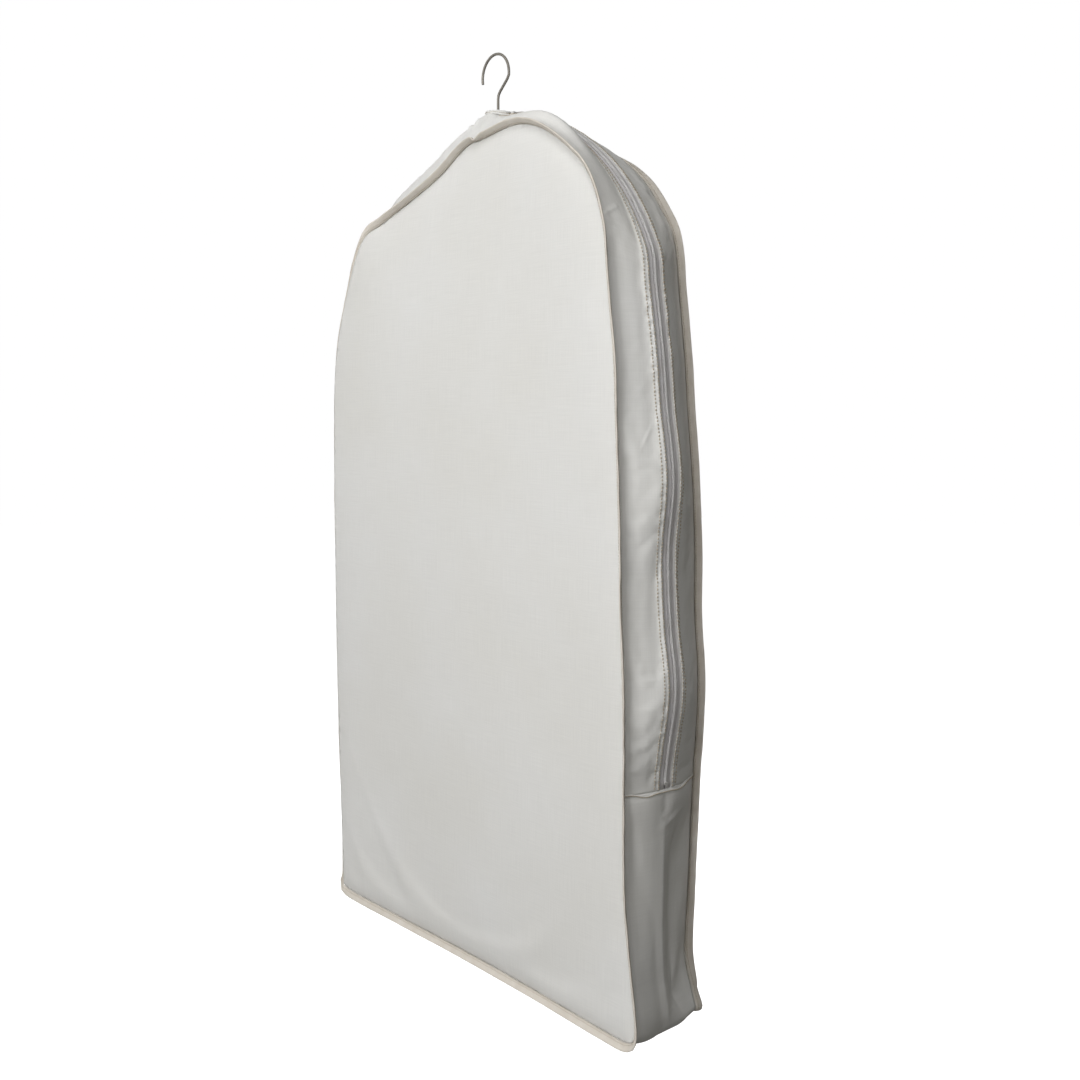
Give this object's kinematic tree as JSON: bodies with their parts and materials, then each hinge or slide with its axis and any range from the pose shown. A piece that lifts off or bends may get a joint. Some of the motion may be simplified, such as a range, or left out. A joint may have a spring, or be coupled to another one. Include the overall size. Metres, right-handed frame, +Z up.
{
  "type": "garment bag",
  "caption": "Gusseted cotton suit bag with bound seams and a zip over one shoulder, hanging by a swivelling metal hook on a wooden hanger inside it.",
  "frame": {"origin": "where the hook bears on the rail, on the line of its shank", "axes": "+Z up, -Y out of the front panel, +X across the bag towards the side with the zip"},
  "size_m": [0.6583, 0.1473, 1.1994],
  "materials": {
    "canvas": "unbleached cotton canvas, matte",
    "binding_tape": "woven cotton tape, matte",
    "zip_tape": "woven polyester tape, matte",
    "zip_coil": "nylon coil, satin",
    "antique_nickel": "dark antique nickel, satin",
    "wood": "satin varnish"
  },
  "bodies": {
    "hook": {"hanger_hook": "antique_nickel"},
    "hanger": {"wooden_hanger": "wood", "hook_ferrule": "antique_nickel"},
    "bag": {"front_panel": "canvas", "rear_panel": "canvas", "gusset_main": "canvas", "zip_strip_front": "canvas", "zip_strip_rear": "canvas", "neck_hem": "canvas", "front_binding": "binding_tape", "rear_binding": "binding_tape", "zip_tape_front": "zip_tape", "zip_tape_rear": "zip_tape", "zip_coil_front": "zip_coil", "zip_coil_rear": "zip_coil", "zip_top_stop_front": "antique_nickel", "zip_top_stop_rear": "antique_nickel", "zip_bottom_stop": "antique_nickel"},
    "slider": {"zip_slider": "antique_nickel"},
    "pull": {"zip_pull": "antique_nickel"}
  },
  "joints": [
    {"name": "hook_swivel", "type": "hinge", "parent": "hook", "child": "hanger", "pos_m": [0, 0, -0.08], "axis": [0, 0, 1], "continuous": true},
    {"name": "bag_lift", "type": "slide", "parent": "hanger", "child": "bag", "axis": [0, 0, 1], "range_m": [0, 0.024]},
    {"name": "zip_travel", "type": "hinge", "parent": "bag", "child": "slider", "pos_m": [0.002, 0, -0.3935], "axis": [0, 1, 0], "range_deg": [0, 57]},
    {"name": "pull_swing", "type": "hinge", "parent": "slider", "child": "pull", "pos_m": [0.04117, 0, -0.07984], "axis": [0, -1, 0], "range_deg": [0, 160]}
  ]
}
